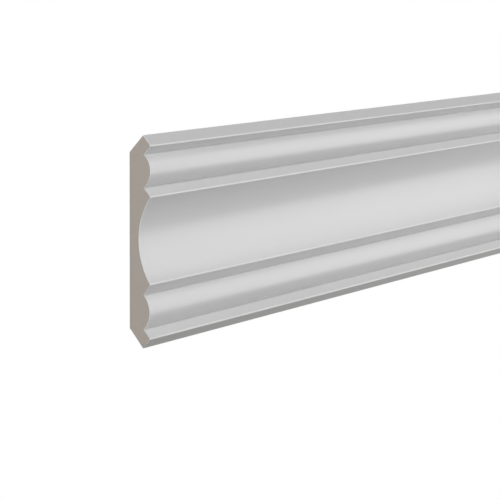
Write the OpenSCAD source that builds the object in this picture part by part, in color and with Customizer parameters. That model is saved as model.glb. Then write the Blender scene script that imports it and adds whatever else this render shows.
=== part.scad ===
// A run of crown moulding for the corner between a wall and a ceiling.
// It is one solid: a flat board with bevelled edges, whose face carries, from the ceiling down,
// a lip, a bead, a wide cove, a second bead and a lower lip.
// As fixed, +X runs along the wall, +Y goes into the wall and +Z goes up to the ceiling.
// The origin is the middle of the flat that bears on the wall.

/* [Run] */
// Length of the piece, cut square at both ends
run_length = 450; // [100:10:2400]

/* [Board] */
// Width of the face, from one feather edge to the other
face_width = 133.4; // [110:0.2:200]
// Thickness of the board, from its flat back to its lips
board_thickness = 17.5; // [14.5:0.5:25]
// Angle between the back of the board and the wall
spring_angle = 45; // [38:1:54]
// How far through the thickness the two seats are cut, from the back
seat_cut = 11.3; // [6:0.1:13]
// Angle off level of the bevel that leads from the lower lip to the bottom edge
lower_bevel_rake = 3; // [0:1:8]

/* [Beads] */
// How deep the quirks beside the beads go below the lips
quirk_depth = 5.5; // [2:0.1:8]
// Width of the bead next to the ceiling, from quirk to quirk
upper_bead_width = 20.4; // [12:0.2:32]
// How far the crown of that bead stays behind the lips
upper_bead_setback = 0.1; // [0.1:0.1:1.5]
// Width of the bead next to the wall, from quirk to quirk
lower_bead_width = 21.6; // [12:0.2:32]
// How far the crown of that bead stays behind the lips
lower_bead_setback = 0.5; // [0.1:0.1:1.5]

/* [Cove] */
// Depth of the cove at its middle, below the lips
cove_depth = 9.7; // [3:0.1:12]
// Angle off level of the flat that leads from the cove down to the lower bead
under_cove_rake = 8; // [0:1:12]

/* [Edges] */
// Radius that eases the four lips
lip_radius = 0.7; // [0.2:0.1:1]

/* [Hidden] */
$fn = 180;

// The section lies in a plane: its first axis goes from the face to the back, where it is 0,
// and its second goes up the face, with 0 half-way.
face = -board_thickness;
quirk = face + quirk_depth;

// The flats of the section are level or plumb when the piece is up, all but the one under the
// cove and the one under the lower lip, which are raked.
function off_level(rake) = [cos(spring_angle + rake), -sin(spring_angle + rake)];
level = off_level(0);
plumb = [sin(spring_angle), cos(spring_angle)];
cove_rake = off_level(under_cove_rake);
square_to_cove_rake = [-cove_rake.y, cove_rake.x];
bevel_rake = off_level(lower_bevel_rake);

// The point reached from a point along a direction, at a given depth in the section.
function along(point, direction, depth) = point + direction * (depth - point.x) / direction.x;

// The corners from the ceiling down to the cove.
top_edge = [-seat_cut, face_width / 2];
back_top = along(top_edge, level, 0);
top_lip = along(top_edge, plumb, face);
upper_quirk_1 = along(top_lip, level, quirk);
upper_quirk_2 = upper_quirk_1 - [0, upper_bead_width];
cove_top = along(upper_quirk_2, plumb, face);

// The corners from the wall up to the cove, which fills what the two bands leave.
bottom_edge = [-seat_cut, -face_width / 2];
back_bottom = along(bottom_edge, plumb, 0);
bottom_lip = along(bottom_edge, bevel_rake, face);
lower_quirk_2 = along(bottom_lip, plumb, quirk);
lower_quirk_1 = lower_quirk_2 + [0, lower_bead_width];
cove_bottom = along(lower_quirk_1, cove_rake, face);

// The radius of the arc over a chord, from the chord's length and the arc's rise.
function arc_radius(chord, rise) = (chord * chord / 4 + rise * rise) / (2 * rise);

cove_radius = arc_radius(cove_top.y - cove_bottom.y, cove_depth);
cove_centre = [face + cove_depth - cove_radius, (cove_top.y + cove_bottom.y) / 2];

// The wall seat's middle, which the origin is moved to.
wall_seat = (back_bottom + bottom_edge) / 2;

// How far a cutter goes past the surface that it opens or ends in.
over = 1;
// How far an easing circle stands past the sides it touches, so that its arc ends in them.
hair = 0.001;

// The board before its face is cut: a flat back, two seats, two front edges and a flat face.
module blank() {
    polygon([top_edge, back_top, back_bottom, bottom_edge, bottom_lip, top_lip]);
}

// The waste of a band, with the bead left: a cut along a given direction that ends in the upper
// quirk, and a plumb one that ends in the lower quirk.
module band_waste(quirk_1, quirk_2, upper_cut, setback) {
    width = quirk_1.y - quirk_2.y;
    radius = arc_radius(width, quirk_depth - setback);
    difference() {
        polygon([
            along(quirk_1, upper_cut, face - over),
            along(quirk_1, upper_cut, quirk + over),
            along(quirk_2, plumb, quirk + over),
            along(quirk_2, plumb, face - over)
        ]);
        translate([face + setback + radius, quirk_1.y - width / 2]) circle(r = radius);
    }
}

// What easing removes between a corner and a circle that touches both its sides.
module eased_waste(corner, touch_1, touch_2, centre) {
    tip = corner + (corner - centre) / 4;
    difference() {
        polygon([centre, touch_1, tip, touch_2]);
        translate(centre) circle(r = lip_radius + hair);
    }
}

// The waste at a lip where two flats meet, each going off from it along a direction.
module flat_lip_waste(corner, flat_1, flat_2) {
    half_angle = acos(flat_1 * flat_2) / 2;
    reach = lip_radius / tan(half_angle);
    middle = (flat_1 + flat_2) / norm(flat_1 + flat_2);
    centre = corner + middle * lip_radius / sin(half_angle);
    eased_waste(corner, corner + flat_1 * reach, corner + flat_2 * reach, centre);
}

// The waste at a lip where a flat meets the cove. The flat goes off along one direction and
// the wood lies to its side, and the easing circle touches the cove's circle from outside.
module cove_lip_waste(corner, flat, side) {
    start = corner + side * lip_radius - cove_centre;
    shared = start * flat;
    clear = cove_radius + lip_radius;
    slide = sqrt(shared * shared - start * start + clear * clear) - shared;
    centre = cove_centre + start + flat * slide;
    touch_cove = cove_centre + (centre - cove_centre) * cove_radius / clear;
    eased_waste(corner, corner + flat * slide, touch_cove, centre);
}

module section() {
    difference() {
        blank();
        band_waste(upper_quirk_1, upper_quirk_2, level, upper_bead_setback);
        band_waste(lower_quirk_1, lower_quirk_2, cove_rake, lower_bead_setback);
        translate(cove_centre) circle(r = cove_radius);
        flat_lip_waste(top_lip, plumb, level);
        flat_lip_waste(bottom_lip, plumb, bevel_rake);
        cove_lip_waste(cove_top, plumb, level);
        cove_lip_waste(cove_bottom, cove_rake, square_to_cove_rake);
    }
}

module moulding() {
    color("white")
        rotate([90, 0, 90])
            linear_extrude(height = run_length, center = true)
                rotate(spring_angle)
                    translate(-wall_seat)
                        section();
}

moulding();
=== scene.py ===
"""The looks of a length of crown moulding: a primed fibreboard run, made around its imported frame.

The board is fixed across the corner of a wall and a ceiling: +X goes along the run, +Y into the
wall and +Z up to the ceiling. Its section is worked out in a plane of its own, whose first axis
goes from the moulded face to the flat back, where it is 0, and whose second goes up the face, with
0 half-way. Sizes are in metres.
"""
import math
from typing import NamedTuple

import bpy
import numpy as np
from bpy.props import FloatProperty, FloatVectorProperty, IntProperty, PointerProperty
from mathutils import Matrix, Vector


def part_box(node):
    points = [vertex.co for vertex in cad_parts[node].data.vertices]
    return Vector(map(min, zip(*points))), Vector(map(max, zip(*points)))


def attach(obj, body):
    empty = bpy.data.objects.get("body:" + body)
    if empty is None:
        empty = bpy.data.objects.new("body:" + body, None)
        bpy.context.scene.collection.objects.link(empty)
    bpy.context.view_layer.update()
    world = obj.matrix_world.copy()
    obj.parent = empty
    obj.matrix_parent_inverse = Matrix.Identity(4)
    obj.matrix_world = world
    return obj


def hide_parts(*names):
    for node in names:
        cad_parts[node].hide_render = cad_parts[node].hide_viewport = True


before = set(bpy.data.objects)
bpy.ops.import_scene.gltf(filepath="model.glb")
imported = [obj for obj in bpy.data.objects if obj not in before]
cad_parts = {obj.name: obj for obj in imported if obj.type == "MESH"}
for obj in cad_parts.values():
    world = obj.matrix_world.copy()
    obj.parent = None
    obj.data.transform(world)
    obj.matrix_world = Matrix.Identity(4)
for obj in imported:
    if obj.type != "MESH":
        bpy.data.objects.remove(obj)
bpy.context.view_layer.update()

bl_info = {
    "name": "Crown moulding",
    "version": (1, 0, 0),
    "blender": (4, 5, 0),
    "location": "3D View > Sidebar > Moulding",
    "description": "Makes a primed fibreboard crown moulding and the stage it is shown on",
    "category": "Add Mesh",
}

NODE = "moulding"
BODY = "root"

# What the frame's box says of the board: it leans from the wall to the ceiling, so the box's two
# short sides give the width of its face and its slope, and the wall seat is centred on height 0.
BOX_LOW, BOX_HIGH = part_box(NODE)
RUN = BOX_HIGH.x - BOX_LOW.x
PROJECTION = BOX_HIGH.y - BOX_LOW.y
DROP = BOX_HIGH.z - BOX_LOW.z
SPRING = math.atan2(PROJECTION, DROP)
FACE = math.hypot(PROJECTION, DROP)
SEAT = -2 * BOX_LOW.z * math.sin(SPRING)


def length(name, description, default, low=0.0, high=5.0):
    """A size in metres, for a property group."""
    return FloatProperty(
        name=name, description=description, default=default, min=low, max=high, unit="LENGTH", precision=5
    )


def share(name, description, default):
    """A number from nought to one, for a property group."""
    return FloatProperty(name=name, description=description, default=default, min=0.0, max=1.0)


def turn(name, description, degrees):
    """An angle, for a property group."""
    return FloatProperty(name=name, description=description, default=math.radians(degrees), subtype="ANGLE")


def colour(name, description, default):
    """A colour, for a property group."""
    return FloatVectorProperty(
        name=name, description=description, default=default, size=3, min=0.0, max=1.0, subtype="COLOR"
    )


class MouldingSizes(bpy.types.PropertyGroup):
    """The sizes of the board, its moulded face and its eased edges."""

    run: length("Run", "Length of the piece, cut square at both ends", RUN)
    face: length("Face width", "From one feather edge to the other", FACE)
    thickness: length("Thickness", "From the flat back to the lips", 0.0175)
    spring: turn("Spring angle", "Angle between the back and the wall", math.degrees(SPRING))
    seat: length("Seat cut", "How far the two seats go through the thickness", SEAT)
    quirk: length("Quirk depth", "Depth of the quirks beside the beads, below the lips", 0.0055)
    upper_bead: length("Upper bead", "Width of the bead next to the ceiling", 0.0204)
    upper_setback: length("Upper bead setback", "From the lips back to that bead's crown", 0.0001)
    lower_bead: length("Lower bead", "Width of the bead next to the wall", 0.0216)
    lower_setback: length("Lower bead setback", "From the lips back to that bead's crown", 0.0005)
    cove: length("Cove depth", "Depth of the cove at its middle, below the lips", 0.0097)
    cove_rake: turn("Rake under the cove", "Angle off level of the flat below the cove", 8)
    bevel_rake: turn("Rake of the bevel", "Angle off level of the bevel below the lower lip", 3)
    lip_ease: length("Lip easing", "How far the easing of a lip goes along its sides", 0.0009)
    quirk_fill: length("Quirk filling", "How far the coat fills a quirk along its sides", 0.0001)
    edge_ease: length("Edge easing", "How far the back and feather edges are eased", 0.0001)
    end_ease: length("End easing", "How far the sawn ends are eased", 0.00012)
    stations: IntProperty(name="Stations", description="Cross sections along the run", default=91, min=3)
    end_columns: IntProperty(name="End columns", description="Faces across a sawn end", default=14, min=3)


class MouldingFinish(bpy.types.PropertyGroup):
    """The colours of the coat and the board, and how rough the coat is."""

    coat: colour("Coat", "Factory primer on the moulded face", (0.735, 0.735, 0.735))
    coat_roughness: share("Coat roughness", "How much the primer blurs what it reflects", 0.31)
    # A thinner coat and painted shade: the darker, greyer primer on the lower bevel, which looks down.
    thin_coat_and_shade: colour("Thin coat", "Primer on the lower bevel, where board shows", (0.445, 0.437, 0.426))
    board_back: colour("Board back", "Sanded fibreboard on the back and the seats", (0.43, 0.378, 0.325))
    board_end: colour("Board end", "Sawn fibreboard at the ends", (0.385, 0.345, 0.308))
    board_skin: colour("Board skin", "Denser board under the surfaces", (0.352, 0.33, 0.3))
    # A painted highlight: lighter primer along the lips, standing in for the light their rounded edges
    # catch.
    lip: colour("Lip", "Primer buffed bright along the lips", (0.86, 0.86, 0.86))
    # A dusting and painted shade: the grey put in the corners of the quirks, where shade falls.
    dust_and_shade: colour("Dust", "Fine grey dust that settles in the quirks", (0.46, 0.46, 0.46))


class MouldingStage(bpy.types.PropertyGroup):
    """Where the camera stands, and how light the room is."""

    aim: FloatVectorProperty(
        name="Aim", description="Point at the middle of the view", default=(-0.1177, -0.0327, 0.0266),
        size=3, subtype="TRANSLATION", precision=5,
    )
    azimuth: turn("Azimuth", "Turn of the camera about the upright, 0 looking along +Y", -53.87)
    elevation: turn("Elevation", "Height of the camera over the aim, as an angle", -17.77)
    roll: turn("Roll", "Turn of the camera about its line of sight", -34.8)
    distance: length("Distance", "From the aim to the camera", 1.1)
    lens: FloatProperty(name="Lens", description="Focal length", default=118.6, unit="CAMERA", precision=3)
    floor_height: length("Floor height", "Height of the floor under the wall seat", -2.35, low=-10.0)
    floor_size: length("Floor size", "Side of the floor, which fades out to its rim", 8.0, high=50.0)
    floor_tone: share("Floor tone", "How pale the floor is", 0.4)
    floor_glow: share("Floor glow", "Light added where the floor is seen, so that it reads pale", 0.6)


# ---- The section -------------------------------------------------------------------------------

# How many points a flat, an arc and the easing of a corner are cut into, ends included.
FLAT_POINTS = 9
ARC_POINTS = 73
EASING_POINTS = 9
# The decimals of a metre to which two heights have to agree to count as one.
HEIGHT_DECIMALS = 7


def along(point, direction, depth):
    """The point reached from a point along a direction, at a given depth in the section."""
    return point + direction * (depth - point[0]) / direction[0]


class Corner(NamedTuple):
    """A corner of the section, what it is, and how far the stretch from it to the next one bulges."""

    kind: str
    point: np.ndarray
    bulge: float = 0.0


def section_corners(size):
    """The section's twelve corners, from the upper feather edge down the face and up the back.

    The flats are level or plumb once the board is up, so each corner is reached from the one
    before along one of those two directions, up to the depth of the lips, the quirks or the back.
    The flat under the cove and the bevel under the lower lip are raked off level. A bulge is the
    rise of the arc over its chord, outwards for a bead and inwards for the cove.
    """
    level, under_cove, bevel = (
        np.array([math.cos(size.spring + rake), -math.sin(size.spring + rake)])
        for rake in (0.0, size.cove_rake, size.bevel_rake)
    )
    plumb = np.array([math.sin(size.spring), math.cos(size.spring)])
    lips = -size.thickness
    quirks = lips + size.quirk
    top_edge = np.array([-size.seat, size.face / 2])
    top_lip = along(top_edge, plumb, lips)
    upper_quirk_1 = along(top_lip, level, quirks)
    upper_quirk_2 = upper_quirk_1 - [0, size.upper_bead]
    cove_top = along(upper_quirk_2, plumb, lips)
    bottom_edge = np.array([-size.seat, -size.face / 2])
    bottom_lip = along(bottom_edge, bevel, lips)
    lower_quirk_2 = along(bottom_lip, plumb, quirks)
    lower_quirk_1 = lower_quirk_2 + [0, size.lower_bead]
    cove_bottom = along(lower_quirk_1, under_cove, lips)
    return [
        Corner("feather", top_edge),
        Corner("lip", top_lip),
        Corner("quirk", upper_quirk_1, size.quirk - size.upper_setback),
        Corner("quirk", upper_quirk_2),
        Corner("lip", cove_top, -size.cove),
        Corner("lip", cove_bottom),
        Corner("quirk", lower_quirk_1, size.quirk - size.lower_setback),
        Corner("quirk", lower_quirk_2),
        Corner("lip", bottom_lip),
        Corner("feather", bottom_edge),
        Corner("back", along(bottom_edge, plumb, 0.0)),
        Corner("back", along(top_edge, level, 0.0)),
    ]


def stretch(start, end, bulge, start_ease, end_ease):
    """Points from one corner to the next, less what the easings of the two take.

    With no bulge it is the straight line. Otherwise it is the arc through both corners whose half
    angle is twice the arc tangent of the bulge over half the chord: a point at an angle from its
    middle lies radius times the sine along the chord, and radius times the cosine, less that of
    the half angle, out from it.
    """
    chord = end - start
    span = np.linalg.norm(chord)
    ahead = chord / span
    outward = np.array([ahead[1], -ahead[0]])
    if bulge == 0.0:
        reach = np.linspace(start_ease, span - end_ease, FLAT_POINTS)
        return start + np.outer(reach, ahead)
    half_angle = 2 * math.atan2(abs(bulge), span / 2)
    radius = span / 2 / math.sin(half_angle)
    angle = np.linspace(start_ease / radius - half_angle, half_angle - end_ease / radius, ARC_POINTS)
    rise = math.copysign(radius, bulge) * (np.cos(angle) - math.cos(half_angle))
    return start + np.outer(span / 2 + radius * np.sin(angle), ahead) + np.outer(rise, outward)


def eased_corner(before, corner, after):
    """A corner's easing: the curve from before to after that is pulled towards the corner.

    At a share u it is (1-u)(1-u) of before, 2u(1-u) of the corner and uu of after.
    """
    u = np.linspace(0, 1, EASING_POINTS)[1:-1, None]
    return (1 - u) ** 2 * before + 2 * u * (1 - u) * corner + u**2 * after


def section_outline(size):
    """The closed outline of the section, with its corners eased, from its highest point round."""
    ease = {
        "lip": size.lip_ease,
        "quirk": size.quirk_fill,
        "feather": size.edge_ease,
        "back": size.edge_ease,
    }
    corners = section_corners(size)
    following = corners[1:] + corners[:1]
    stretches = [
        stretch(here.point, there.point, here.bulge, ease[here.kind], ease[there.kind])
        for here, there in zip(corners, following)
    ]
    before = stretches[-1:] + stretches[:-1]
    chain = []
    for corner, last, coming in zip(corners, before, stretches):
        chain.append(eased_corner(last[-1], corner.point, coming[0]))
        chain.append(coming)
    outline = np.vstack(chain)
    return np.roll(outline, -int(np.argmax(outline[:, 1])), axis=0)


def face_and_back(size):
    """The outline as two chains of points at the same heights, from the top tip to the bottom one.

    Both sides of the outline only ever go down, so each is its depth as a function of height, read
    at every height that either of them has a point at.
    """
    outline = section_outline(size)
    lowest = int(np.argmin(outline[:, 1]))
    face = outline[: lowest + 1][::-1]
    back = np.vstack([outline[lowest:], outline[:1]])
    heights = np.unique(np.round(np.concatenate([face[:, 1], back[:, 1]]), HEIGHT_DECIMALS))
    chains = [
        np.stack([np.interp(heights, side[:, 1], side[:, 0]), heights], 1)[::-1]
        for side in (face, back)
    ]
    tips = (chains[0][[0, -1]] + chains[1][[0, -1]]) / 2
    for chain in chains:
        chain[[0, -1]] = tips
    return chains


def inset(loop, distance):
    """A closed outline moved inwards: each point goes square to the line between its neighbours."""
    tangent = np.roll(loop, -1, axis=0) - np.roll(loop, 1, axis=0)
    tangent /= np.linalg.norm(tangent, axis=1, keepdims=True)
    inward = np.stack([-tangent[:, 1], tangent[:, 0]], 1)
    return loop + inward * distance


# ---- The board ---------------------------------------------------------------------------------

# The numbers of the board's materials.
COAT, BACK, END = range(3)
# How thick the coat is where the saw went through it.
COAT_THICKNESS = 0.00018
# Edges that turn by more than this are sharp.
SHARP_ANGLE = math.radians(30)


def row_points(run, section, size):
    """Section points, with a place along the run, in the frame: leant over and set on the wall seat.

    The section turns by the spring angle about the middle of the wall seat, which is the origin.
    """
    low_back = -size.face / 2 + size.seat / math.tan(size.spring)
    depth = section[..., 0] + size.seat / 2
    height = section[..., 1] - (low_back - size.face / 2) / 2
    sine, cosine = math.sin(size.spring), math.cos(size.spring)
    return np.stack([run, cosine * depth - sine * height, sine * depth + cosine * height], -1)


class Skin(NamedTuple):
    """A closed mesh as arrays: places, section points, quads, triangles and a material for each."""

    places: np.ndarray
    section: np.ndarray
    quads: np.ndarray
    triangles: np.ndarray
    quad_material: np.ndarray
    triangle_material: np.ndarray


def grid_quads(index, wrap=False):
    """The quads of a grid of vertex numbers, each going round from a row to the next row."""
    right = np.roll(index, -1, axis=1) if wrap else index[:, 1:]
    left = index if wrap else index[:, :-1]
    return np.stack([left[:-1], right[:-1], right[1:], left[1:]], -1)


def run_stations(size):
    """Where the cross sections stand along the run: crowded towards the ends, as the cosine of an
    even angle is, with one more at each end for its easing."""
    half = size.run / 2
    middle = -np.cos(np.linspace(0, math.pi, size.stations)) * (half - size.end_ease)
    return np.concatenate([[-half], middle, [half]])


def ruled_end(loop, numbers, rows, first, columns):
    """A sawn end inside the last outline: its new section points, its quads and its triangles.

    Each point of the moulded side is joined to the back's point at the same height by a straight
    row of even columns, after a first one as wide as the coat is thick, and at most half a column.
    The new points are numbered from first on, and the faces look along the run.
    """
    down_face = np.arange(rows)
    down_back = (len(loop) - down_face) % len(loop)
    down_back[-1] = rows - 1
    left, right = loop[down_face[1:-1]], loop[down_back[1:-1]]
    width = np.linalg.norm(right - left, axis=1, keepdims=True)
    coat = np.minimum(COAT_THICKNESS / width, 0.5 / columns)
    reach = coat + (1 - coat) * np.linspace(0, 1, columns)[None, :-1]
    inner = left[:, None] + (right - left)[:, None] * reach[..., None]
    inner_numbers = first + np.arange(reach.size).reshape(reach.shape)
    rows_across = np.hstack([
        numbers[down_face[1:-1, None]],
        inner_numbers,
        numbers[down_back[1:-1, None]],
    ])
    top, bottom = (np.full(columns, numbers[tip]) for tip in (0, rows - 1))
    above = np.stack([top, rows_across[0, :-1], rows_across[0, 1:]], 1)
    below = np.stack([bottom, rows_across[-1, 1:], rows_across[-1, :-1]], 1)
    quads = grid_quads(rows_across).reshape(-1, 4)[:, ::-1]
    return inner.reshape(-1, 2), quads, np.vstack([above, below])


def board_skin(size):
    """The board: its outline carried along the run, and a ruled grid over each sawn end.

    The first and the last outline are inset by the end easing.
    """
    face, back = face_and_back(size)
    rows = len(face)
    outline = np.vstack([face, back[-2:0:-1]])
    around = len(outline)
    run = run_stations(size)
    loops = np.repeat(outline[None], len(run), axis=0)
    loops[[0, -1]] = inset(outline, size.end_ease)
    numbers = np.arange(len(run) * around).reshape(len(run), around)
    on_face = np.arange(around) < rows - 1
    section = [loops.reshape(-1, 2)]
    along_run = [np.repeat(run, around)]
    quads = [grid_quads(numbers, wrap=True).reshape(-1, 4)]
    quad_material = [np.tile(np.where(on_face, COAT, BACK), len(run) - 1)]
    triangles = []
    first = numbers.size
    for station, turn_round in ((0, True), (len(run) - 1, False)):
        inner, end_quads, end_triangles = ruled_end(
            loops[station], numbers[station], rows, first, size.end_columns
        )
        if turn_round:
            end_quads, end_triangles = end_quads[:, ::-1], end_triangles[:, ::-1]
        section.append(inner)
        along_run.append(np.full(len(inner), run[station]))
        quads.append(end_quads)
        quad_material.append(np.full(len(end_quads), END))
        triangles.append(end_triangles)
        first += len(inner)
    section = np.vstack(section)
    triangles = np.vstack(triangles)
    return Skin(
        places=row_points(np.concatenate(along_run), section, size),
        section=section,
        quads=np.vstack(quads),
        triangles=triangles,
        quad_material=np.concatenate(quad_material),
        triangle_material=np.full(len(triangles), END),
    )


def nearest(section, corners, kind):
    """How far each section point is from the nearest corner of a kind."""
    points = np.array([corner.point for corner in corners if corner.kind == kind])
    return np.min(np.linalg.norm(section[:, None] - points[None], axis=2), axis=1)


def board_attributes(skin, size):
    """What the materials read: each point's distance from the lips, the quirks and the feather
    edges, its depth behind the moulded face and in front of the back, and how far it lies below
    the bottom lip."""
    corners = section_corners(size)
    face, _ = face_and_back(size)
    face_depth = np.interp(skin.section[:, 1], face[::-1, 1], face[::-1, 0])
    bottom_lip = min(corner.point[1] for corner in corners if corner.kind == "lip")
    return {
        "from_lip": nearest(skin.section, corners, "lip"),
        "from_quirk": nearest(skin.section, corners, "quirk"),
        "from_feather": nearest(skin.section, corners, "feather"),
        "from_face": skin.section[:, 0] - face_depth,
        "from_back": -skin.section[:, 0],
        "under_bottom_lip": bottom_lip - skin.section[:, 1],
    }


def make_mesh(name, skin, attributes, materials):
    """A mesh object at the origin from the arrays of a skin, smooth but for its sharp corners."""
    mesh = bpy.data.meshes.new(name)
    mesh.from_pydata(skin.places.tolist(), [], skin.quads.tolist() + skin.triangles.tolist())
    for material in materials:
        mesh.materials.append(material)
    numbers = np.concatenate([skin.quad_material, skin.triangle_material])
    mesh.polygons.foreach_set("material_index", numbers.astype(np.int32))
    for label, values in attributes.items():
        attribute = mesh.attributes.new(label, "FLOAT", "POINT")
        attribute.data.foreach_set("value", values.astype(np.float32))
    mesh.shade_smooth()
    mesh.set_sharp_from_angle(angle=SHARP_ANGLE)
    if mesh.validate():
        raise ValueError("The mesh of " + name + " had faults that Blender mended")
    board = bpy.data.objects.new(name, mesh)
    bpy.context.scene.collection.objects.link(board)
    return board


# ---- Node building -----------------------------------------------------------------------------

# The range in which nearly all of a noise's values lie.
NOISE_RANGE = (0.3, 0.7)


def put(tree, kind, inputs=None, **settings):
    """Adds a node, sets its plain settings, and gives its inputs values or links them to sockets."""
    made = tree.nodes.new(kind)
    for setting, value in settings.items():
        setattr(made, setting, value)
    for label, value in (inputs or {}).items():
        if isinstance(value, bpy.types.NodeSocket):
            tree.links.new(value, made.inputs[label])
        else:
            made.inputs[label].default_value = value
    return made


def math_node(tree, operation, *values):
    """The output of a Math node on one, two or three values or sockets."""
    return put(tree, "ShaderNodeMath", dict(enumerate(values)), operation=operation).outputs[0]


def vector_node(tree, operation, first, second=(0.0, 0.0, 0.0), output=0):
    """An output of a Vector Math node on one or two vectors or sockets."""
    return put(tree, "ShaderNodeVectorMath", {0: first, 1: second}, operation=operation).outputs[output]


def ramp(tree, value, low, high, bottom=0.0, top=1.0):
    """A smooth step: bottom where the value is low or less, and top where it is high or more."""
    inputs = {"Value": value, "From Min": low, "From Max": high, "To Min": bottom, "To Max": top}
    return put(tree, "ShaderNodeMapRange", inputs, interpolation_type="SMOOTHSTEP").outputs["Result"]


def fade(tree, value, low, high, full=1.0):
    """A smooth step down: full where the value is low or less, and 0 where it is high or more."""
    return ramp(tree, value, low, high, full, 0.0)


def plus_share(tree, height, extra, share_of_extra):
    """A height with a share of another one added to it."""
    return math_node(tree, "MULTIPLY_ADD", extra, share_of_extra, height)


def blend_colour(tree, factor, first, second):
    """The output of a colour mix, from first at 0 to second at 1."""
    mixed = put(tree, "ShaderNodeMix", data_type="RGBA")
    sockets = (mixed.inputs["Factor"], *mixed.inputs[6:8])
    for socket, value in zip(sockets, (factor, first, second)):
        if isinstance(value, bpy.types.NodeSocket):
            tree.links.new(value, socket)
        else:
            socket.default_value = value if isinstance(value, float) else (*value, 1.0)
    return mixed.outputs[2]


def new_group(name, inputs, outputs):
    """An empty node group that takes named numbers, with their defaults, and puts out others."""
    tree = bpy.data.node_groups.new(name, "ShaderNodeTree")
    for label, default in inputs.items():
        socket = tree.interface.new_socket(label, in_out="INPUT", socket_type="NodeSocketFloat")
        socket.default_value = default
    for label in outputs:
        tree.interface.new_socket(label, in_out="OUTPUT", socket_type="NodeSocketFloat")
    return tree, tree.nodes.new("NodeGroupInput").outputs, tree.nodes.new("NodeGroupOutput").inputs


def use_group(tree, group, **inputs):
    """Places a node group in a tree, gives its inputs by their names, and returns its outputs."""
    return put(tree, "ShaderNodeGroup", inputs, node_tree=group).outputs


def noise_at(tree, scale, detail, vector=None, **shape):
    """The output of a noise with a scale in patches to the metre, on the piece or on a vector."""
    place = object_place(tree) if vector is None else vector
    inputs = {"Vector": place, "Scale": scale, "Detail": detail}
    inputs.update((label.capitalize(), value) for label, value in shape.items())
    return put(tree, "ShaderNodeTexNoise", inputs).outputs[0]


def wander(tree, noise, amount):
    """A factor that strays from 1 by an amount either way, as a noise strays from its middle."""
    swing = math_node(tree, "MULTIPLY_ADD", noise, 2.0, -1.0)
    return math_node(tree, "MULTIPLY_ADD", swing, amount, 1.0)


def read(tree, attribute):
    """The value of one of the mesh's attributes."""
    return put(tree, "ShaderNodeAttribute", attribute_name=attribute).outputs["Fac"]


def object_place(tree):
    """The place of a point on the piece, in metres."""
    return put(tree, "ShaderNodeTexCoord").outputs["Object"]


# ---- Effects shared by the materials -----------------------------------------------------------


def cloud_group():
    """Soft blotches: a value near 1 that wanders by an amount, over patches of a given size."""
    tree, given, out = new_group("Soft blotches", {"Patch": 0.05, "Amount": 0.02}, ["Factor"])
    noise = noise_at(tree, math_node(tree, "DIVIDE", 1.0, given["Patch"]), 3.0)
    tree.links.new(wander(tree, noise, given["Amount"]), out["Factor"])
    return tree


def run_marks_group():
    """Faint marks along the run, as knives and sanding belts leave: noise drawn out along X."""
    tree, given, out = new_group(
        "Run marks", {"Width": 0.001, "Length": 0.15, "Amount": 0.02}, ["Factor", "Height"]
    )
    squeeze = math_node(tree, "DIVIDE", given["Width"], given["Length"])
    stretched = put(tree, "ShaderNodeCombineXYZ", {"X": squeeze, "Y": 1.0, "Z": 1.0}).outputs[0]
    drawn_out = vector_node(tree, "MULTIPLY", object_place(tree), stretched)
    noise = noise_at(tree, math_node(tree, "DIVIDE", 1.0, given["Width"]), 2.0, drawn_out)
    tree.links.new(wander(tree, noise, given["Amount"]), out["Factor"])
    tree.links.new(noise, out["Height"])
    return tree


def fibre_group():
    """Pressed fibre: short fibres seen as fine noise, with coarser flecks among them."""
    tree, given, out = new_group(
        "Pressed fibre",
        {"Fibre": 0.0006, "Fleck": 0.002, "Amount": 0.1},
        ["Factor", "Flecks", "Height"],
    )
    fibre_scale = math_node(tree, "DIVIDE", 1.0, given["Fibre"])
    fibres = noise_at(tree, fibre_scale, 3.0, roughness=0.65, distortion=0.8)
    fleck_scale = math_node(tree, "DIVIDE", 1.0, given["Fleck"])
    cells = put(tree, "ShaderNodeTexVoronoi", {"Vector": object_place(tree), "Scale": fleck_scale})
    # A fleck is full within the first of these shares of its cell, and has faded out by the second.
    flecks = fade(tree, cells.outputs["Distance"], 0.08, 0.3)
    tree.links.new(wander(tree, fibres, given["Amount"]), out["Factor"])
    tree.links.new(flecks, out["Flecks"])
    tree.links.new(fibres, out["Height"])
    return tree


def ragged_coat_group():
    """Where the coat still covers: full up to an edge, and broken up by noise beyond it."""
    tree, given, out = new_group(
        "Ragged coat", {"Distance": 0.0, "Reach": 0.002, "Grain": 0.001}, ["Mask"]
    )
    noise = noise_at(tree, math_node(tree, "DIVIDE", 1.0, given["Grain"]), 4.0, roughness=0.7)
    share_out = math_node(tree, "DIVIDE", given["Distance"], given["Reach"])
    broken = math_node(tree, "ADD", share_out, noise)
    # With the noise near a half, the coat is whole to nearly half its reach and gone near its end.
    tree.links.new(fade(tree, broken, 0.95, 1.4), out["Mask"])
    return tree


def tint(tree, colour_socket, *factors):
    """A colour with each of its channels multiplied by all the factors."""
    product = factors[0]
    for factor in factors[1:]:
        product = math_node(tree, "MULTIPLY", product, factor)
    scaled = put(tree, "ShaderNodeVectorMath", {0: colour_socket, "Scale": product}, operation="SCALE")
    return scaled.outputs[0]


def finished_material(name, wire):
    """A material with a Principled BSDF, whose inputs a function wires."""
    material = bpy.data.materials.new(name)
    material.use_nodes = True
    wire(material.node_tree, material.node_tree.nodes["Principled BSDF"])
    return material


def bump(tree, shader, height, distance):
    """Feeds a height, given as a share of a distance in metres, to the shader's normal."""
    relief = put(tree, "ShaderNodeBump", {"Height": height, "Distance": distance, "Strength": 1.0})
    tree.links.new(relief.outputs["Normal"], shader.inputs["Normal"])


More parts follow.
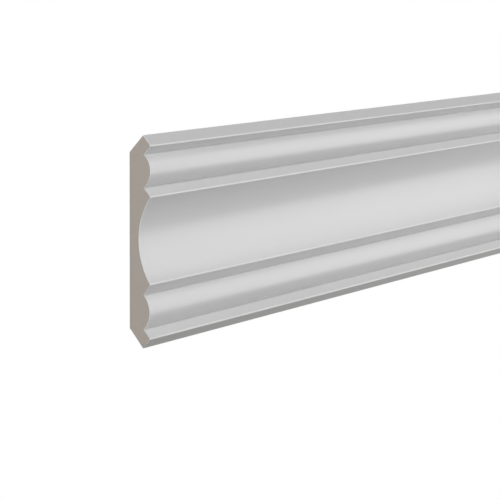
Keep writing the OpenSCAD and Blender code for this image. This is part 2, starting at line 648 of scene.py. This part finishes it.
# Where the coat changes, in metres from a lip or a quirk: between the first distance and the
# second the lower bevel's darker coat (a thinner coat and painted shade) ends, the grey in a quirk
# (a dusting and painted shade) ends, and the painted highlight along a lip ends.
THINNING_AND_SHADE = (0.0001, 0.0012)
DUST_AND_SHADE_END = (0.0001, 0.0015)
PAINTED_HIGHLIGHT_END = (0.0005, 0.0009)
# How much of the coat the grey hides in the corner of a quirk: a dusting and painted shade.
DUST_AND_SHADE_COVER = 0.6
# The size of the spray's grain, and how deep the relief of each finish is, in metres.
SPRAY_GRAIN = 1 / 900
COAT_RELIEF = 0.00001
BACK_RELIEF = 0.00004
END_RELIEF = 0.00005


def coat_material(finish, groups):
    """Satin factory primer: even, with a fine spray texture, faint marks of the knives along the
    run, a painted highlight along the lips, a dusting and painted shade in the quirks, and a darker
    coat on the lower bevel that is a thinner coat and painted shade."""

    def wire(tree, shader):
        blotches = use_group(tree, groups["cloud"], Patch=0.07, Amount=0.012)["Factor"]
        marks = use_group(tree, groups["marks"], Width=0.0011, Length=0.22, Amount=0.01)
        # A thinner coat and painted shade: the lower bevel, which looks down, is given a darker, greyer
        # coat.
        bevel = ramp(tree, read(tree, "under_bottom_lip"), *THINNING_AND_SHADE)
        thinned_and_shaded = blend_colour(tree, bevel, finish.coat, finish.thin_coat_and_shade)
        # A dusting and painted shade: the corners of the quirks are greyed, where shade falls.
        dust_and_shade_mask = fade(tree, read(tree, "from_quirk"), *DUST_AND_SHADE_END, DUST_AND_SHADE_COVER)
        quirks = blend_colour(tree, dust_and_shade_mask, thinned_and_shaded, finish.dust_and_shade)
        # Painted highlight: the coat is lightened along each lip, for the light its rounded edge catches.
        painted_highlight = fade(tree, read(tree, "from_lip"), *PAINTED_HIGHLIGHT_END)
        lips = blend_colour(tree, painted_highlight, quirks, finish.lip)
        base = tint(tree, lips, blotches, marks["Factor"])
        tree.links.new(base, shader.inputs["Base Color"])
        rough = math_node(tree, "MULTIPLY", blotches, finish.coat_roughness)
        tree.links.new(rough, shader.inputs["Roughness"])
        spray = noise_at(tree, 1 / SPRAY_GRAIN, 2.0, roughness=0.4)
        bump(tree, shader, plus_share(tree, spray, marks["Height"], 0.5), COAT_RELIEF)

    return finished_material("Primer coat", wire)


# How strongly the flecks show on the back and at the ends.
BACK_FLECKS = 0.22
END_FLECKS = 0.12
# How rough the back is, bare and under stray coat, and how rough the ends are at least and at most.
BACK_ROUGHNESS = (0.75, 0.5)
END_ROUGHNESS = (0.75, 0.9)


def back_material(finish, groups):
    """Sanded fibreboard on the back and the seats, with coat that strayed over the feather edges."""

    def wire(tree, shader):
        fibre = use_group(tree, groups["fibre"], Fibre=0.0009, Fleck=0.0035, Amount=0.07)
        blotches = use_group(tree, groups["cloud"], Patch=0.05, Amount=0.04)["Factor"]
        marks = use_group(tree, groups["marks"], Width=0.0016, Length=0.3, Amount=0.04)
        flecks = math_node(tree, "MULTIPLY", fibre["Flecks"], BACK_FLECKS)
        flecked = blend_colour(tree, flecks, finish.board_back, finish.board_skin)
        board = tint(tree, flecked, fibre["Factor"], blotches, marks["Factor"])
        stray = use_group(
            tree, groups["coat"], Distance=read(tree, "from_feather"), Reach=0.008, Grain=0.0035
        )["Mask"]
        tree.links.new(blend_colour(tree, stray, board, finish.coat), shader.inputs["Base Color"])
        tree.links.new(ramp(tree, stray, 0.0, 1.0, *BACK_ROUGHNESS), shader.inputs["Roughness"])
        board_height = plus_share(tree, fibre["Height"], marks["Height"], 0.6)
        bump(tree, shader, plus_share(tree, board_height, stray, 0.8), BACK_RELIEF)

    return finished_material("Sanded fibreboard", wire)


# Where the saw's axle stood, over the middle of the run, how far apart its teeth left their marks,
# how far the marks stray, in radians of that pitch, and how much they shade the board.
SAW_AXLE = (0.0, 0.11, -0.02)
SAW_PITCH = 0.0015
SAW_STRAY = 3.0
SAW_SHADE = 0.008
# The denser board under the back and under the coat: the depth to which it is full, the depth at
# which it has ended, and how much it shows.
DENSE_UNDER_BACK = (0.0003, 0.003, 0.8)
DENSE_UNDER_FACE = (0.0003, 0.0025, 0.3)


def end_material(finish, groups):
    """Sawn fibreboard: denser and greyer under its surfaces, marked by the arcs of the saw's teeth,
    with the cut edge of the coat along the moulded side."""

    def wire(tree, shader):
        fibre = use_group(tree, groups["fibre"], Fibre=0.0007, Fleck=0.0028, Amount=0.06)
        blotches = use_group(tree, groups["cloud"], Patch=0.012, Amount=0.02)["Factor"]
        under_back = fade(tree, read(tree, "from_back"), *DENSE_UNDER_BACK)
        under_face = fade(tree, read(tree, "from_face"), *DENSE_UNDER_FACE)
        skin = math_node(tree, "MAXIMUM", under_back, under_face)
        dense = blend_colour(tree, skin, finish.board_end, finish.board_skin)
        flecks = math_node(tree, "MULTIPLY", fibre["Flecks"], END_FLECKS)
        flecked = blend_colour(tree, flecks, dense, finish.board_skin)
        spoke = vector_node(tree, "DISTANCE", object_place(tree), SAW_AXLE, output="Value")
        stray = math_node(tree, "MULTIPLY", noise_at(tree, 60.0, 2.0), SAW_STRAY)
        phase = math_node(tree, "MULTIPLY_ADD", spoke, 2 * math.pi / SAW_PITCH, stray)
        teeth = math_node(tree, "SINE", phase)
        sawn = math_node(tree, "MULTIPLY_ADD", teeth, SAW_SHADE, 1.0)
        board = tint(tree, flecked, fibre["Factor"], blotches, sawn)
        rim = use_group(
            tree, groups["coat"], Distance=read(tree, "from_face"), Reach=0.0004, Grain=0.0005
        )["Mask"]
        tree.links.new(blend_colour(tree, rim, board, finish.coat), shader.inputs["Base Color"])
        rough = ramp(tree, fibre["Height"], *NOISE_RANGE, *END_ROUGHNESS)
        tree.links.new(rough, shader.inputs["Roughness"])
        bump(tree, shader, plus_share(tree, fibre["Height"], teeth, 0.15), END_RELIEF)

    return finished_material("Sawn fibreboard", wire)


class MOULDING_OT_board(bpy.types.Operator):
    """Make the moulded board, with its coat, its back and its sawn ends"""

    bl_idname = "moulding.make_board"
    bl_label = "Make the board"

    def execute(self, context):
        size, finish = context.scene.moulding_sizes, context.scene.moulding_finish
        groups = {
            "cloud": cloud_group(),
            "marks": run_marks_group(),
            "fibre": fibre_group(),
            "coat": ragged_coat_group(),
        }
        materials = [make(finish, groups) for make in (coat_material, back_material, end_material)]
        skin = board_skin(size)
        board = make_mesh("crown_moulding", skin, board_attributes(skin, size), materials)
        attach(board, BODY)
        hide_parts(NODE)
        return {"FINISHED"}


# ---- The stage ---------------------------------------------------------------------------------


class Lamp(NamedTuple):
    """A soft lamp, placed from the board: along the run, out from the face and up the face.

    Its sides are given in metres, and its radiance is 1 where it would look just white.
    """

    name: str
    place: tuple
    target: tuple
    sides: tuple
    radiance: float


LAMPS = (
    Lamp("lower right softbox", (2.4, 1.99, -0.24), (0.0, 0.0, 0.0), (1.8, 1.4), 2.85),
    Lamp("upper right softbox", (2.4, 1.7, 1.06), (0.0, 0.0, 0.0), (1.8, 1.45), 2.55),
    Lamp("left softbox", (-1.6, 1.75, 0.95), (0.0, 0.0, 0.0), (0.9, 1.2), 7.6),
    Lamp("high left lamp", (-1.6, 0.5, 1.9), (0.0, 0.0, 0.0), (0.8, 0.8), 0.9),
    Lamp("left end lamp", (-2.4, 0.2, 0.3), (-0.2, 0.0, 0.0), (1.0, 1.0), 9.8),
    Lamp("right end lamp", (1.6, -0.6, 0.1), (0.2, 0.0, 0.0), (0.8, 0.8), 6.0),
    Lamp("back lamp", (0.2, -1.2, 0.3), (0.0, 0.0, 0.0), (1.0, 0.7), 6.0),
)


def board_axes(size):
    """The directions along the run, out from the face and up the face, in the frame."""
    sine, cosine = math.sin(size.spring), math.cos(size.spring)
    return Matrix(((1, 0, 0), (0, -cosine, -sine), (0, -sine, cosine))).transposed()


def looking(place, target, upright):
    """A turn whose back points from the target to the place, with its top towards the upright."""
    back = (place - target).normalized()
    right = upright.cross(back).normalized()
    return Matrix((right, back.cross(right), back)).transposed().to_4x4()


def add_lamp(lamp, size):
    """An area lamp that faces its target; its power is pi times its area times its radiance."""
    axes = board_axes(size)
    middle = (BOX_LOW + BOX_HIGH) / 2
    place, target = middle + axes @ Vector(lamp.place), middle + axes @ Vector(lamp.target)
    light = bpy.data.lights.new(lamp.name, "AREA")
    light.shape = "RECTANGLE"
    light.size, light.size_y = lamp.sides
    light.energy = math.pi * light.size * light.size_y * lamp.radiance
    holder = bpy.data.objects.new(lamp.name, light)
    holder.matrix_world = Matrix.Translation(place) @ looking(place, target, axes @ Vector((0, 0, 1)))
    holder.visible_camera = False
    bpy.context.scene.collection.objects.link(holder)


def seen_directly(tree):
    """1 for what the camera sees, straight or in a gloss or through glass, and 0 for other light."""
    path = put(tree, "ShaderNodeLightPath").outputs
    seen = math_node(tree, "MAXIMUM", path["Is Camera Ray"], path["Is Glossy Ray"])
    return math_node(tree, "MAXIMUM", seen, path["Is Transmission Ray"])


def light_room():
    """A room that is white where it is seen, and that leaves the light to the lamps."""
    world = bpy.data.worlds.new("Room")
    world.use_nodes = True
    tree = world.node_tree
    background = tree.nodes["Background"]
    background.inputs["Color"].default_value = (1.0, 1.0, 1.0, 1.0)
    tree.links.new(seen_directly(tree), background.inputs["Strength"])
    bpy.context.scene.world = world


# How far the floor's tone strays, and the share of its reach at which it starts to fade out.
FLOOR_BLOTCH = 0.01
FLOOR_SOLID = 0.4


def floor_material(stage):
    """Pale plain floor paint, softly blotched, which glows a little where it is seen."""

    def wire(tree, shader):
        low, high = stage.floor_tone - FLOOR_BLOTCH, stage.floor_tone + FLOOR_BLOTCH
        tone = ramp(tree, noise_at(tree, 1.5, 3.0), *NOISE_RANGE, low, high)
        tree.links.new(tone, shader.inputs["Base Color"])
        shader.inputs["Roughness"].default_value = 0.9
        shader.inputs["Emission Strength"].default_value = 1.0
        level_place = vector_node(tree, "MULTIPLY", object_place(tree), (1.0, 1.0, 0.0))
        away = vector_node(tree, "LENGTH", level_place, output="Value")
        reach = stage.floor_size / 2
        solid = fade(tree, away, FLOOR_SOLID * reach, reach)
        tree.links.new(solid, shader.inputs["Alpha"])
        glow = math_node(tree, "MULTIPLY", seen_directly(tree), stage.floor_glow)
        tree.links.new(glow, shader.inputs["Emission Color"])

    return finished_material("Floor paint", wire)


def make_floor(stage):
    """A square of level floor below the board."""
    reach = stage.floor_size / 2
    mesh = bpy.data.meshes.new("floor")
    square = [(-reach, -reach), (reach, -reach), (reach, reach), (-reach, reach)]
    mesh.from_pydata([(x, y, stage.floor_height) for x, y in square], [], [(0, 1, 2, 3)])
    mesh.materials.append(floor_material(stage))
    floor = bpy.data.objects.new("floor", mesh)
    bpy.context.scene.collection.objects.link(floor)


def place_camera(stage):
    """The camera stands at its distance from the aim, in the direction of its azimuth and elevation,
    and is then rolled about its own line of sight."""
    level = math.cos(stage.elevation)
    back = Vector((
        math.sin(stage.azimuth) * level,
        -math.cos(stage.azimuth) * level,
        math.sin(stage.elevation),
    ))
    aim = Vector(stage.aim)
    place = aim + back * stage.distance
    lens = bpy.data.cameras.new("camera")
    lens.lens = stage.lens
    lens.clip_start = 0.01
    camera = bpy.data.objects.new("camera", lens)
    upright = looking(place, aim, Vector((0, 0, 1)))
    camera.matrix_world = Matrix.Translation(place) @ upright @ Matrix.Rotation(stage.roll, 4, "Z")
    bpy.context.scene.collection.objects.link(camera)
    bpy.context.scene.camera = camera


class MOULDING_OT_stage(bpy.types.Operator):
    """Make the floor, the lamps, the light of the room and the camera"""

    bl_idname = "moulding.make_stage"
    bl_label = "Make the stage"

    def execute(self, context):
        size, stage = context.scene.moulding_sizes, context.scene.moulding_stage
        place_camera(stage)
        make_floor(stage)
        for lamp in LAMPS:
            add_lamp(lamp, size)
        light_room()
        context.scene.view_settings.view_transform = "Standard"
        return {"FINISHED"}


# ---- The add-on --------------------------------------------------------------------------------


class MOULDING_PT_panel(bpy.types.Panel):
    """The sidebar panel with the operators and their values"""

    bl_idname = "MOULDING_PT_panel"
    bl_label = "Crown moulding"
    bl_space_type = "VIEW_3D"
    bl_region_type = "UI"
    bl_category = "Moulding"

    def draw(self, context):
        sections = (
            ("moulding.make_board", context.scene.moulding_sizes),
            (None, context.scene.moulding_finish),
            ("moulding.make_stage", context.scene.moulding_stage),
        )
        for operator, values in sections:
            box = self.layout.box()
            for label in values.bl_rna.properties.keys():
                if label not in ("rna_type", "name"):
                    box.prop(values, label)
            if operator:
                box.operator(operator)


CLASSES = (
    MouldingSizes,
    MouldingFinish,
    MouldingStage,
    MOULDING_OT_board,
    MOULDING_OT_stage,
    MOULDING_PT_panel,
)


def register():
    """Registers the classes and hangs their values on the scene."""
    for one in CLASSES:
        bpy.utils.register_class(one)
    bpy.types.Scene.moulding_sizes = PointerProperty(type=MouldingSizes)
    bpy.types.Scene.moulding_finish = PointerProperty(type=MouldingFinish)
    bpy.types.Scene.moulding_stage = PointerProperty(type=MouldingStage)


def unregister():
    """Takes the values and the classes away again."""
    for label in ("moulding_sizes", "moulding_finish", "moulding_stage"):
        delattr(bpy.types.Scene, label)
    for one in reversed(CLASSES):
        bpy.utils.unregister_class(one)


def main():
    """Makes the board and the stage."""
    register()
    bpy.ops.moulding.make_board()
    bpy.ops.moulding.make_stage()
    bpy.context.view_layer.update()


if __name__ == "__main__":
    main()
